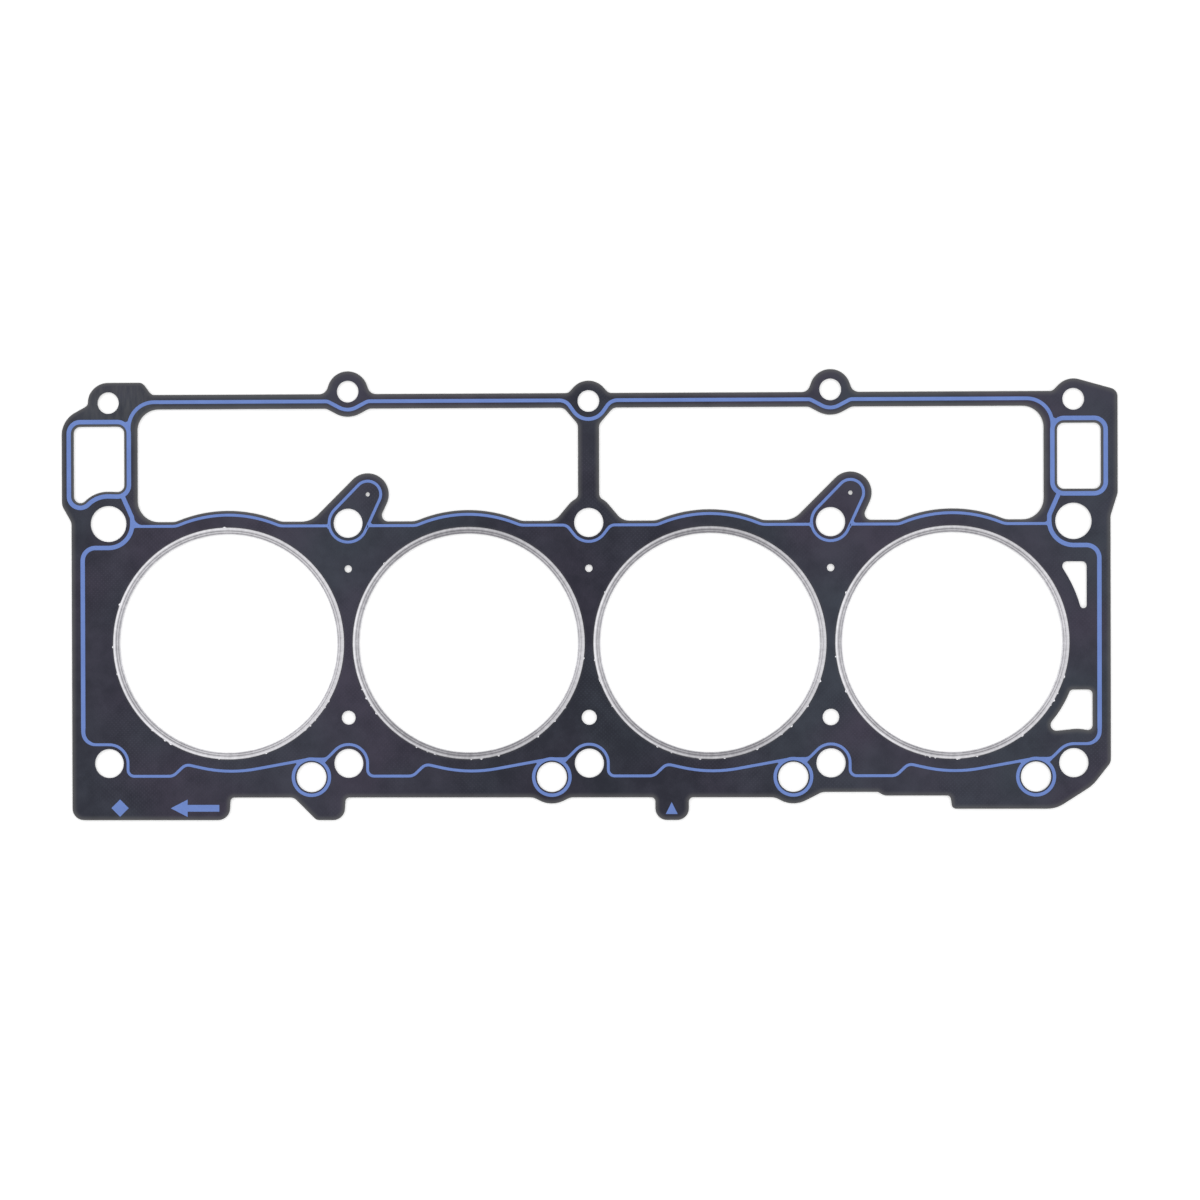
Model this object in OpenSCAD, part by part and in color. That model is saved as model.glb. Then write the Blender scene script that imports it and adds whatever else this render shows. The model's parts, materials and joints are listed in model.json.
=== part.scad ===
// Composition cylinder head gasket for one bank of a V8, lying flat.
//
// A sheet steel core carries a soft facing on each side. A thin stainless flange is folded round
// each bore edge over a steel wire, and a silicone bead is printed on both faces.
//
// Frame: the origin is the centre of the head bolt pattern, halfway through the sheet. +X runs
// along the row of bores, +Y points to the valley side of the engine and +Z to the cylinder head.

/* [Bores and bolts] */
// Distance between the two rows of head bolts
bolt_row_gap = 113; // [110:0.1:118]
// Diameter of the head bolt holes
head_bolt_d = 13.7; // [11:0.1:15]
// Diameter of the dowel holes at both ends of the valley row
dowel_d = 17; // [13:0.1:18]
// Diameter of the small bolt holes along the valley rail
valley_bolt_d = 10.2; // [7:0.1:11]
// Depth of the end and middle valley bolts below the rail's middle line
valley_bolt_drop = 0.3; // [0:0.1:2]
// Rise of the second and fourth valley bolts above the rail's middle line
raised_bolt_rise = 4.6; // [3:0.1:7]

/* [Fluid passages] */
// Diameter of the oil drain holes
drain_d = 14.2; // [10:0.1:15]
// How far each drain hole stands left of its bolt column
drain_offset = 17.65; // [17:0.05:19]
// Depth of the drain holes below the lower bolt row
drain_drop = 6.5; // [5:0.1:9]
// Diameters of the three metered coolant holes between the bores
coolant_ds = [6.6, 7.1, 7.8];
// Diameter of the steam holes between the bores
steam_d = 3.5; // [2:0.1:6]
// Distance of coolant and steam holes from the row of bores
coolant_y = 35; // [34:0.1:40]
// Diameter of the oil feed hole at the tip of each finger
oil_feed_d = 2; // [1:0.1:5]
// Oil feed hole, sideways from its head bolt
oil_feed_x = 9.3; // [8:0.1:10]
// Oil feed hole, above its head bolt
oil_feed_rise = 13.55; // [13:0.05:15]

/* [Layers] */
// Thickness of the steel core
core_t = 0.3; // [0.2:0.05:0.6]
// Thickness of each facing
facing_t = 0.45; // [0.4:0.05:0.8]
// How far the printed bead stands above the facing
bead_t = 0.12; // [0.05:0.01:0.14]

/* [Fire rings] */
// Diameter of the bore inside a fire ring
ring_d = 102.9; // [96:0.1:104]
// Width of a fire ring's flange
ring_w = 3.15; // [2.9:0.05:4]
// Land of facing between two neighbouring fire rings
ring_land = 4.08; // [3:0.01:12]
// Thickness of the stainless sheet that the rings are folded from
ring_t = 0.15; // [0.15:0.01:0.25]
// Outer radius of the fold at the bore edge
fold_r = 0.45; // [0.3:0.05:0.5]
// Diameter of the wire inside the fold
wire_d = 1.1; // [0.8:0.05:1.15]
// Free space round the wire inside the fold
wire_gap = 0.05; // [0.05:0.01:0.1]
// Free space between the wire and the edge of the facings
pocket_gap = 0.45; // [0.4:0.05:0.5]
// Depth of the two creases beside the crest over the wire
crease_depth = 0.07; // [0.03:0.01:0.08]
// Half of the width of a crease
crease_w = 0.16; // [0.1:0.01:0.2]

/* [Deck] */
// Width of facing between a fire ring and the arched edge of the valley windows
bridge_w = 7.9; // [5:0.1:9]
// Lean of the foot of an arch from upright, in degrees
arch_lean = 68; // [64:1:72]
// Fillet radius at the foot of an arch
arch_foot_r = 8; // [5:0.5:10]
// Height of the flat deck edge above the bolt row
deck_rise = 0.8; // [0.5:0.1:3]
// Reach of the sheet past the left end bolt column
left_reach = 17.5; // [16:0.1:22]
// Reach of the sheet past the right end bolt column
right_reach = 17.2; // [16:0.1:22]
// Extra reach of the left end beside its port
left_port_bulge = 4.5; // [3:0.1:6]
// Extra reach of the right end beside its port
right_port_bulge = 3.35; // [2:0.1:6]

/* [Valley windows and rail] */
// Height of the rail's middle line above the upper bolt row
rail_rise = 57.3; // [52:0.1:62]
// Width of the rail
rail_w = 6.8; // [5:0.1:9]
// Width of the web that joins the rail to the deck
web_w = 9.9; // [7:0.1:14]
// Distance from an end bolt column to the end of the valley window
window_end = 13.8; // [13:0.1:18]
// Corner radius at the ends of the valley windows
window_r = 10; // [4:0.5:14]
// Land round a valley bolt hole, outside the rail
ear_land = 4.4; // [3:0.1:6]
// Lean of the flanks of a raised ear from upright, in degrees
raised_lean = 20; // [15:1:40]
// Lean of the flanks of the middle ear from upright, in degrees
middle_lean = 42; // [35:1:50]
// Land round a raised valley bolt hole, inside the window
inner_land = 6.7; // [5:0.1:8]
// Land round the middle head bolt, where the web meets the deck
web_land = 5.75; // [4:0.1:8]
// Radius of a finger's tip round its oil feed hole
finger_r = 9.9; // [7.5:0.1:11]

/* [Ports and coolant windows] */
// Height of the ports' lower side above the head bolt row
port_rise = 15; // [14:0.1:18]
// Depth of the ports' upper side below the rail's middle line
port_drop = 11.45; // [11:0.05:16]
// Reach of both ports from the end bolt columns towards the middle
port_inner = 7.6; // [6:0.1:8]
// Reach of the left port from its bolt column to the left
left_port_outer = 16.45; // [15:0.1:17]
// Reach of the right port from its bolt column to the right
right_port_outer = 12.8; // [10:0.1:15]
// Depth of the left port's toe beside the dowel hole
port_toe = 9.65; // [6:0.05:10]
// Corner radius of the ports
port_r = 3.2; // [2:0.1:5]
// Land between the left dowel hole and its port
port_dowel_land = 6.9; // [6:0.1:9]
// Land between the last fire ring and the upper coolant window
upper_land = 7.4; // [5:0.1:8]
// Height of the upper coolant window
upper_window_h = 21.9; // [16:0.1:26]
// Distance from the right end to the upper coolant window
upper_window_margin = 11.05; // [10:0.05:12]
// Land between the last fire ring and the lower coolant window
lower_land = 4.8; // [3:0.1:7]
// Distance from the right end to the lower coolant window
lower_window_margin = 8.4; // [7.5:0.1:10]
// Land between the lower right head bolt and the lower coolant window
bolt_land = 8.8; // [8:0.1:11]

/* [Lower edge] */
// Depth of the lower edge below the bolt row
edge_drop = 16.05; // [15:0.1:20]
// Depth of the feet and the mark tab below the bolt row
foot_drop = 26.7; // [24:0.1:30]
// Depth of the low step at the right end below the bolt row
step_drop = 21.5; // [20.5:0.1:26]
// Land round a drain hole at the lower edge
drain_land = 5.35; // [4.5:0.1:8]
// Width of the mark tab
tab_w = 15.7; // [12:0.1:20]
// Middle of the mark tab, right of the middle bolt column
tab_x = 38.8; // [34:0.1:44]
// Width of the flat end of the slanted foot
slant_foot_w = 13; // [10:0.1:16]
// Radius of the outer corners of the feet
foot_r = 5.5; // [4:0.1:7]
// Radius of the inner corners along the lower edge
nook_r = 2; // [1:0.1:3]

/* [Sealing bead] */
// Width of the bead along both ends and round the ports
wide_bead_w = 2.1; // [1.2:0.1:2.4]
// Width of the bead along the rail
rail_bead_w = 1.75; // [1.2:0.05:2.4]
// Width of the bead along the deck and the lower edge
bead_w = 1.35; // [0.8:0.05:1.8]
// Width of the bead round a drain hole
drain_bead_w = 1.6; // [1:0.05:1.8]
// Distance of the bead's middle line from the deck edge and the finger edge
bead_gap = 2; // [1.5:0.1:2.6]
// Distance of the bead's middle line from a port
port_bead_gap = 2.2; // [2:0.1:2.6]
// Distance of the bead's middle line from both ends of the sheet
end_bead_gap = 5.25; // [3.5:0.05:6]
// Distance of the bead's middle line from the edge of a head bolt hole
bolt_bead_gap = 2.05; // [1.5:0.05:3]
// Distance of the bead's middle line from the edge of a dowel hole
dowel_bead_gap = 2.8; // [2:0.1:3.5]
// Distance of the bead's middle line from the edge of a drain hole
drain_bead_gap = 1.45; // [1.2:0.05:1.8]
// Distance of the bead's middle line from the edge of a valley bolt hole
valley_bead_gap = 3.4; // [2.5:0.1:4]
// Radius of the bead's middle line round an oil feed hole
finger_bead_r = 6.2; // [4:0.1:7]
// Depth of the lower bead's straight stretches below the bolt row
low_bead_drop = 6; // [4:0.1:7]
// Distance from a fire ring to the corner that the lower bead is bent round
sag_gap = 6.85; // [5:0.05:7.5]

/* [Hidden] */
// Largest distance between a rounded corner and its straight pieces
arc_tolerance = 0.02;
// Two points nearer than this are one point
same_point = 0.001;
hole_facets = 96;
ring_facets = 180;
wire_facets = 24;
// Distance from one bore to the next, and from one column of bolts to the next
bore_pitch = ring_d + 2 * ring_w + ring_land;
bolt_y = bolt_row_gap / 2;
body_h = core_t + 2 * facing_t;
ring_r = ring_d / 2;
ring_outer_r = ring_r + ring_w;
wire_ring_r = ring_r + ring_t + wire_gap + wire_d / 2;
sheet_bore_r = wire_ring_r + wire_d / 2 + pocket_gap;
arch_r = ring_outer_r + bridge_w;
deck_y = bolt_y + deck_rise;
drain_y = bolt_y + drain_drop;
rail_y = bolt_y + rail_rise;
valley_bolt_y = rail_y - valley_bolt_drop;
raised_bolt_y = rail_y + raised_bolt_rise;
window_top = rail_y - rail_w / 2;
rail_edge = rail_y + rail_w / 2;
left_x = -2 * bore_pitch - left_reach;
right_x = 2 * bore_pitch + right_reach;
port_bottom = bolt_y + port_rise;
port_top = rail_y - port_drop;
ear_r = valley_bolt_d / 2 + ear_land;
web_lobe_r = head_bolt_d / 2 + web_land;
drain_lobe_r = drain_d / 2 + drain_land;
edge_y = -bolt_y - edge_drop;
foot_y = -bolt_y - foot_drop;
step_y = -bolt_y - step_drop;
loop_r = head_bolt_d / 2 + bolt_bead_gap;
dowel_loop_r = dowel_d / 2 + dowel_bead_gap;
drain_ring_r = drain_d / 2 + drain_bead_gap;
rail_loop_r = valley_bolt_d / 2 + valley_bead_gap;
deck_bead_y = deck_y - bead_gap;
dowel_bead_x = 2 * bore_pitch - dowel_loop_r;
rail_start_x = -2 * bore_pitch + port_inner + port_bead_gap;
rail_bend_r = 12;
// Directions in which the loop round a head bolt turns to its oil feed hole, left and right of it
shoulder_angle = 135;
waist_angle = -24;

// Places on the sheet, counted from the left
function column_x(i) = (i - 3) * bore_pitch;
function bore_at(i) = [(i - 2.5) * bore_pitch, 0];
function upper_bolt(i) = [column_x(i), bolt_y];
function lower_bolt(i) = [column_x(i), -bolt_y];
function valley_bolt(i) = [column_x(i), i % 2 == 0 ? raised_bolt_y : valley_bolt_y];
function drain_at(i) = [column_x(i) - drain_offset, -drain_y];
function oil_feed_at(i) = upper_bolt(i) + [oil_feed_x, oil_feed_rise];

// Outlines are lists of corners [x, y, radius]. These functions round, shift and join them.
function xy(c) = [c.x, c.y];
function polar(r, a) = [r * cos(a), r * sin(a)];
function heading(a, b) = (xy(b) - xy(a)) / norm(xy(b) - xy(a));
function to_left(v) = [-v.y, v.x];
function turn(u, v) = atan2(cross(u, v), u * v);
function spin(v, a) = [v.x * cos(a) - v.y * sin(a), v.x * sin(a) + v.y * cos(a)];
function backwards(list) = [for (i = [len(list) - 1:-1:0]) list[i]];
function mirrored(path) = backwards([for (c = path) [-c.x, c.y, c.z]]);

// Points of an arc that starts at p along dir and turns by angle a with radius r
function arc(p, dir, r, a) =
    let (
        centre = p + to_left(dir) * r * sign(a),
        count = ceil(abs(a) / (2 * acos(1 - min(0.5, arc_tolerance / r))))
    )
    [for (k = [0:count]) centre + spin(p - centre, a * k / count)];

// Leaves out each point that repeats the one before it
function distinct(points, closed) =
    let (n = len(points))
    [for (i = [0:n - 1])
        if ((i == 0 && !closed) || norm(points[i] - points[(i + n - 1) % n]) > same_point) points[i]];

// The points of a corner list, with each corner rounded as far as its two sides allow
function rounded(path, closed = true) =
    let (
        n = len(path),
        ahead = [for (i = [0:n - 1]) heading(path[i], path[(i + 1) % n])],
        side = [for (i = [0:n - 1]) norm(xy(path[(i + 1) % n]) - xy(path[i]))],
        bend = [for (i = [0:n - 1])
            closed || (i > 0 && i < n - 1) ? turn(ahead[(i + n - 1) % n], ahead[i]) : 0],
        reach = [for (i = [0:n - 1]) path[i].z * tan(abs(bend[i]) / 2)],
        room = [for (i = [0:n - 1]) min(1, side[i] / max(same_point, reach[i] + reach[(i + 1) % n]))],
        fit = [for (i = [0:n - 1]) min(room[i], room[(i + n - 1) % n])]
    )
    distinct([for (i = [0:n - 1])
        each reach[i] * fit[i] < same_point
            ? [xy(path[i])]
            : arc(xy(path[i]) - ahead[(i + n - 1) % n] * reach[i] * fit[i],
                  ahead[(i + n - 1) % n], path[i].z * fit[i], bend[i])], closed);

// A corner list shifted sideways, each corner i by by[i] to the left of the way it runs
function shifted(path, by, closed = true) =
    let (n = len(path))
    [for (i = [0:n - 1])
        let (
            u = closed || i > 0 ? heading(path[(i + n - 1) % n], path[i]) : heading(path[0], path[1]),
            v = closed || i < n - 1 ? heading(path[i], path[(i + 1) % n]) : u,
            p = xy(path[i]) + (to_left(u) + to_left(v)) * by[i] / (1 + u * v)
        )
        [p.x, p.y, max(0, path[i].z - sign(cross(u, v)) * by[i])]];

// The same number for each corner of a list
function each_one(path, value) = [for (c = path) value];

// Corners that follow a circle of radius r round c, from one angle to another
function lobe(c, r, from, to) =
    let (n = ceil(abs(to - from) / 60), half = (to - from) / n / 2)
    [for (k = [0:n - 1])
        let (p = c + polar(r / cos(half), from + (2 * k + 1) * half))
        [p.x, p.y, r]];

// Corner where the circle's tangent at angle a meets the straight edge at height y
function foot(c, r, a, y, fillet) = [c.x + (r - (y - c.y) * sin(a)) / cos(a), y, fillet];

// A lobe that grows out of the straight edge at height y, with a fillet at each foot
function swell(c, r, from, to, y, fillet) =
    concat([foot(c, r, from, y, fillet)], lobe(c, r, from, to), [foot(c, r, to, y, fillet)]);

// A swell over the circle, running to the right, and one under it, running to the left
function ear(c, r, lean, y, fillet) = swell(c, r, 180 - lean, lean, y, fillet);
function dip(c, r, lean, y, fillet) = swell(c, r, -lean, lean - 180, y, fillet);

// The deck edge over a bore, and the same arch moved into the sheet by gap for the bead
function arch(i, gap = 0) = ear(bore_at(i), arch_r - gap, arch_lean, deck_y - gap, arch_foot_r);

// Left end and top of the outline, from the lower left corner to the upper right one
function upper_outline() =
    let (
        bulge_x = left_x - left_port_bulge,
        bulge_r = 5,
        bulge_low_y = bolt_y + 0.7,
        bulge_high_y = bolt_y + 8.8,
        shoulder_y = port_top + 3.15,
        shoulder_r = 12,
        neck_y = valley_bolt_y - 1.1,
        crest_x = column_x(1) + 16.2,
        crest_end_x = column_x(1) + 20.5,
        crest_r = 3,
        last_ear_start = 135,
        last_ear_end = 74,
        right_shoulder_y = valley_bolt_y + 4.1,
        rail_fillet = 4
    )
    concat(
        [
            [left_x, foot_y, foot_r],
            [left_x, bulge_low_y, bulge_r],
            [bulge_x, bulge_high_y, bulge_r],
            [bulge_x, shoulder_y, shoulder_r],
            [column_x(1) - ear_r, neck_y, crest_r]
        ],
        lobe(valley_bolt(1), ear_r, 180, 90),
        [
            [crest_x, valley_bolt_y + ear_r, crest_r],
            [crest_end_x, rail_edge, crest_r]
        ],
        ear(valley_bolt(2), ear_r, raised_lean, rail_edge, rail_fillet),
        ear(valley_bolt(3), ear_r, middle_lean, rail_edge, crest_r),
        ear(valley_bolt(4), ear_r, raised_lean, rail_edge, rail_fillet),
        [foot(valley_bolt(5), ear_r, last_ear_start, rail_edge, crest_r)],
        lobe(valley_bolt(5), ear_r, last_ear_start, last_ear_end),
        [[right_x + right_port_bulge, right_shoulder_y, rail_fillet]]
    );

// Right end and lower edge, on from there back to the lower left corner
function lower_outline() =
    let (
        bulge_x = right_x + right_port_bulge,
        bulge_r = 5,
        bulge_high_y = bolt_y + 13,
        bulge_low_y = bolt_y + 2.4,
        cut_start_y = -bolt_y + 0.2,
        cut_x = right_x - 8.5,
        cut_y = -bolt_y - 10.6,
        cut_end_x = right_x - 25.5,
        cut_r = 18,
        cut_foot_r = 14,
        step_x = bore_at(4).x,
        step_slant = 0.9,
        shelf_y = edge_y + 0.75,
        shelf_x = column_x(4) + 24.7,
        ledge_y = edge_y + 2.45,
        ledge_x = column_x(4) + 21.9,
        drain_lean = 63,
        drain_fillet = 6,
        slant_foot_x = column_x(2) - 2.3,
        slant_r = 3,
        slant_nook_r = 4,
        upright = 0.7,
        gap_x = bore_at(1).x
    )
    concat(
        [
            [bulge_x, bulge_high_y, bulge_r],
            [right_x, bulge_low_y, bulge_r],
            [right_x, cut_start_y, bulge_r],
            [cut_x, cut_y, cut_r],
            [cut_end_x, step_y, cut_foot_r],
            [step_x, step_y, nook_r],
            [step_x - step_slant, shelf_y, nook_r],
            [shelf_x, shelf_y, bulge_r],
            [ledge_x, ledge_y, nook_r],
            foot(drain_at(4), drain_lobe_r, -drain_lean, ledge_y, drain_fillet)
        ],
        lobe(drain_at(4), drain_lobe_r, -drain_lean, drain_lean - 180),
        [
            foot(drain_at(4), drain_lobe_r, drain_lean - 180, edge_y, drain_fillet),
            [tab_x + tab_w / 2, edge_y, nook_r],
            [tab_x + tab_w / 2, foot_y, foot_r],
            [tab_x - tab_w / 2, foot_y, foot_r],
            [tab_x - tab_w / 2, edge_y, nook_r]
        ],
        dip(drain_at(3), drain_lobe_r, drain_lean, edge_y, drain_fillet),
        [
            [slant_foot_x + upright, edge_y, nook_r],
            [slant_foot_x, foot_y, foot_r],
            [slant_foot_x - slant_foot_w, foot_y, slant_r],
            [slant_foot_x - slant_foot_w - foot_drop + edge_drop, edge_y, slant_nook_r],
            [gap_x + upright, edge_y, nook_r],
            [gap_x, foot_y, foot_r]
        ]
    );

// Deck edge round the finger that carries an oil feed hole beside head bolt i
function finger(i) =
    let (left_angle = 135, right_angle = -25, left_fillet = 11, right_fillet = 2.9)
    concat(
        [foot(oil_feed_at(i), finger_r, left_angle, deck_y, left_fillet)],
        lobe(oil_feed_at(i), finger_r, left_angle, right_angle),
        [foot(oil_feed_at(i), finger_r, right_angle, deck_y, right_fillet)]
    );

// Foot and head of the middle web, on the side where x is negative
function web_side() =
    let (
        foot_angle = 140,
        neck_angle = 118,
        foot_fillet = 7,
        neck_y = bolt_y + 11.7,
        head_y = window_top - 7.8,
        head_reach = 6.7,
        web_r = 4
    )
    concat(
        [foot(upper_bolt(3), web_lobe_r, foot_angle, deck_y, foot_fillet)],
        lobe(upper_bolt(3), web_lobe_r, foot_angle, neck_angle),
        [
            [-web_w / 2, neck_y, web_r],
            [-web_w / 2, head_y, web_r],
            [-web_w / 2 - head_reach, window_top, web_r]
        ]
    );

// Window edge below the raised valley bolt i
function window_dip(i) =
    let (lean = 62, fillet = 4)
    dip(valley_bolt(i), valley_bolt_d / 2 + inner_land, lean, window_top, fillet);

function left_window() = concat(
    [[column_x(1) + window_end, window_top, window_r], [column_x(1) + window_end, deck_y, window_r]],
    arch(1), finger(2), arch(2), web_side(), window_dip(2)
);

function right_window() = concat(
    arch(3), finger(4), arch(4),
    [[column_x(5) - window_end, deck_y, window_r], [column_x(5) - window_end, window_top, window_r]],
    window_dip(4), mirrored(web_side())
);

function left_port() =
    let (toe_angle = 135)
    concat(
        [
            [column_x(1) - left_port_outer, port_top, port_r],
            [column_x(1) + port_inner, port_top, port_r],
            [column_x(1) + port_inner, port_bottom, port_r]
        ],
        lobe(upper_bolt(1), dowel_d / 2 + port_dowel_land, 90, toe_angle),
        [[column_x(1) - left_port_outer, port_bottom - port_toe, port_r]]
    );

function right_port() = [
    [column_x(5) - port_inner, port_top, port_r],
    [column_x(5) + right_port_outer, port_top, port_r],
    [column_x(5) + right_port_outer, port_bottom, port_r],
    [column_x(5) - port_inner, port_bottom, port_r]
];

function upper_coolant_window() =
    let (
        side_x = right_x - upper_window_margin,
        top_y = bolt_y - 18.9,
        low_y = top_y - upper_window_h,
        land_r = ring_outer_r + upper_land,
        low_angle = 16,
        high_angle = 32,
        corner_r = 2.2,
        tip_r = 1.4
    )
    concat(
        [
            [side_x, top_y, corner_r],
            [side_x, low_y, tip_r],
            beside(land_r, low_angle, low_y, tip_r)
        ],
        lobe(bore_at(4), land_r, low_angle, high_angle),
        [beside(land_r, high_angle, top_y, corner_r)]
    );

// Corner at height y on the tangent at angle a of a circle round the last bore
function beside(r, a, y, fillet) = [bore_at(4).x + (r - y * sin(a)) / cos(a), y, fillet];

function lower_coolant_window() =
    let (
        side_x = right_x - lower_window_margin,
        top_y = -bolt_y + 34.2,
        side_low_y = -bolt_y + 14.8,
        land_r = ring_outer_r + lower_land,
        bolt_r = head_bolt_d / 2 + bolt_land,
        corner_r = 2.2,
        toe_r = 2.8,
        toe_angle = -38.6,
        low_angle = 68,
        high_angle = -22,
        toe_at = bore_at(4) + polar(land_r + toe_r, toe_angle),
        across = toe_at - lower_bolt(5),
        touch = atan2(across.y, across.x) - acos(min(1, (bolt_r + toe_r) / norm(across)))
    )
    concat(
        [
            beside(land_r, high_angle, top_y, corner_r),
            [side_x, top_y, corner_r],
            [side_x, side_low_y, corner_r]
        ],
        lobe(lower_bolt(5), bolt_r, low_angle, touch),
        lobe(toe_at, toe_r, touch + 180, toe_angle + 180),
        lobe(bore_at(4), land_r, toe_angle, high_angle)
    );

// The blank that the core and both facings share
module sheet() {
    difference() {
        polygon(rounded(concat(upper_outline(), lower_outline())));
        polygon(rounded(left_window()));
        polygon(rounded(right_window()));
        polygon(rounded(left_port()));
        polygon(rounded(right_port()));
        polygon(rounded(upper_coolant_window()));
        polygon(rounded(lower_coolant_window()));
        for (i = [1:4]) hole(bore_at(i), 2 * sheet_bore_r);
        for (i = [1:5]) hole(lower_bolt(i), head_bolt_d);
        for (i = [2:4]) hole(upper_bolt(i), head_bolt_d);
        for (i = [1, 5]) hole(upper_bolt(i), dowel_d);
        for (i = [1:5]) hole(valley_bolt(i), valley_bolt_d);
        for (i = [2:5]) hole(drain_at(i), drain_d);
        for (i = [2:4]) hole([column_x(i), -coolant_y], coolant_ds[i - 2]);
        for (i = [2:4]) hole([column_x(i), coolant_y], steam_d);
        for (i = [2, 4]) hole(oil_feed_at(i), oil_feed_d);
    }
}

module hole(at, d) {
    translate(at) circle(d = d, $fn = hole_facets);
}

module steel_core() {
    color("lightslategray")
        translate([0, 0, -core_t / 2])
        linear_extrude(core_t) sheet();
}

module top_facing() {
    color("#3f3f4c")
        translate([0, 0, core_t / 2])
        linear_extrude(facing_t) sheet();
}

module bottom_facing() {
    color("#3f3f4c")
        translate([0, 0, -body_h / 2])
        linear_extrude(facing_t) sheet();
}

// Upper half of the flange's middle line in section, from its outer edge to the bore wall
function flange_line() =
    let (
        z = (body_h + ring_t) / 2,
        crease_inset = 0.1,
        outer_crease = wire_ring_r + wire_d / 2 + pocket_gap / 2,
        inner_crease = wire_ring_r - wire_d / 2 + crease_inset
    )
    concat(
        [[ring_outer_r, z, 0]],
        crease(outer_crease, z),
        crease(inner_crease, z),
        [[ring_r + ring_t / 2, z, fold_r]]
    );

// Corners of one crease, a shallow groove pressed into the flange
function crease(r, z) = [
    [r + crease_w, z, crease_w / 2],
    [r, z - crease_depth, crease_w / 2],
    [r - crease_w, z, crease_w / 2]
];

module fire_ring(i) {
    half = flange_line();
    line = concat(half, backwards([for (c = half) [c.x, -c.y, c.z]]));
    color("gainsboro")
        translate(bore_at(i))
        rotate_extrude($fn = ring_facets)
        polygon(strip(line, each_one(line, ring_t / 2)));
}

module combustion_wire(i) {
    color("silver")
        translate(bore_at(i))
        rotate_extrude($fn = ring_facets)
        translate([wire_ring_r, 0])
        circle(d = wire_d, $fn = wire_facets);
}

// Outline of a strip that follows an open corner list, half wide to each side of it
function strip(path, half) = concat(
    rounded(shifted(path, half, false), false),
    backwards(rounded(shifted(path, -half, false), false))
);

// A bead line along an open corner list, w[i] wide at corner i
module bead_line(path, w) {
    polygon(strip(path, w / 2));
}

// A bead of one width round a closed corner list
module bead_loop(path, w) {
    difference() {
        polygon(rounded(shifted(path, each_one(path, w / 2))));
        polygon(rounded(shifted(path, each_one(path, -w / 2))));
    }
}

// Small web of silicone, with radius r, where two bead lines leave point p in the directions a and b
module gusset(p, a, b, r) {
    inset = 0.45 * bead_w;
    reach = (r + bead_w / 2) / tan(acos(a * b) / 2);
    corner = [
        [p.x + a.x * reach, p.y + a.y * reach, 0],
        [p.x, p.y, r + inset],
        [p.x + b.x * reach, p.y + b.y * reach, 0]
    ];
    by = each_one(corner, -sign(cross(a, b)) * inset);
    polygon(concat([p], rounded(shifted(corner, by, false), false)));
}

// Web of silicone between a ring's point at angle a and the line that leaves the ring at angle b
module ring_web(c, r, a, b) {
    polygon([c + polar(r, a), c + polar(r / cos(a - b), a), c + polar(r, b)]);
}

// The bead as it is printed, all lines joined into one network
module seal_bead() {
    linear_extrude(bead_t) closed_beads();
    linear_extrude(bead_t) rail_and_deck_beads();
    linear_extrude(bead_t) end_beads();
    linear_extrude(bead_t) lower_bead();
    linear_extrude(bead_t) joints();
}

// Loops round the ports, the fingers and the drain holes
module closed_beads() {
    for (port = [left_port(), right_port()]) {
        bead_loop(shifted(port, each_one(port, port_bead_gap)), wide_bead_w);
    }
    for (i = [2, 4]) {
        bead_loop(concat(
            lobe(oil_feed_at(i), finger_bead_r, shoulder_angle, waist_angle),
            lobe(upper_bolt(i), loop_r, waist_angle, shoulder_angle - 360)
        ), bead_w);
    }
    for (i = [2:5]) drain_bead(i);
}

module drain_bead(i) {
    translate(drain_at(i)) difference() {
        circle(r = drain_ring_r + drain_bead_w / 2, $fn = hole_facets);
        circle(r = drain_ring_r - drain_bead_w / 2, $fn = hole_facets);
    }
}

module rail_and_deck_beads() {
    bead_line(rail_path(), each_one(rail_path(), rail_bead_w));
    for (path = deck_paths()) bead_line(path, each_one(path, bead_w));
}

// Webs of silicone in the corners where lines meet
module joints() {
    left_dowel_r = 4.5;
    right_dowel_r = 2;
    dowel_joint(-1, left_dowel_r);
    dowel_joint(1, right_dowel_r);
    rail_joint();
    mirror([1, 0]) rail_joint();
    for (i = [2, 4]) finger_joints(i);
    for (i = [2:5]) drain_joints(i);
}

// From the left port along the rail to the right port
function rail_path() =
    let (
        end_x = -rail_start_x,
        end_y = port_top - port_r,
        fillet = 4,
        middle_fillet = 6,
        raised_bead_lean = 62,
        middle_bead_lean = 35
    )
    concat(
        [[-end_x, end_y, 0], [-end_x, rail_y, rail_bend_r]],
        backwards(dip(valley_bolt(2), rail_loop_r, raised_bead_lean, rail_y, fillet)),
        backwards(dip(valley_bolt(3), rail_loop_r, middle_bead_lean, rail_y, middle_fillet)),
        backwards(dip(valley_bolt(4), rail_loop_r, raised_bead_lean, rail_y, fillet)),
        [[end_x, rail_y, rail_bend_r], [end_x, end_y, 0]]
    );

// The three stretches of bead under the valley windows, between the ends and the two fingers
function deck_paths() =
    let (y = deck_bead_y, past_bolt = loop_r + 0.5, bolt_lean = 38, fillet = 4)
    [
        concat(
            [[-dowel_bead_x, y, 0]],
            arch(1, bead_gap),
            [[column_x(2) - loop_r, y, 0]]
        ),
        concat(
            [[column_x(2) + past_bolt, y, 0]],
            arch(2, bead_gap),
            backwards(dip(upper_bolt(3), loop_r, bolt_lean, y, fillet)),
            arch(3, bead_gap),
            [[column_x(4) - loop_r, y, 0]]
        ),
        concat(
            [[column_x(4) + past_bolt, y, 0]],
            arch(4, bead_gap),
            [[dowel_bead_x, y, 0]]
        )
    ];

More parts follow.
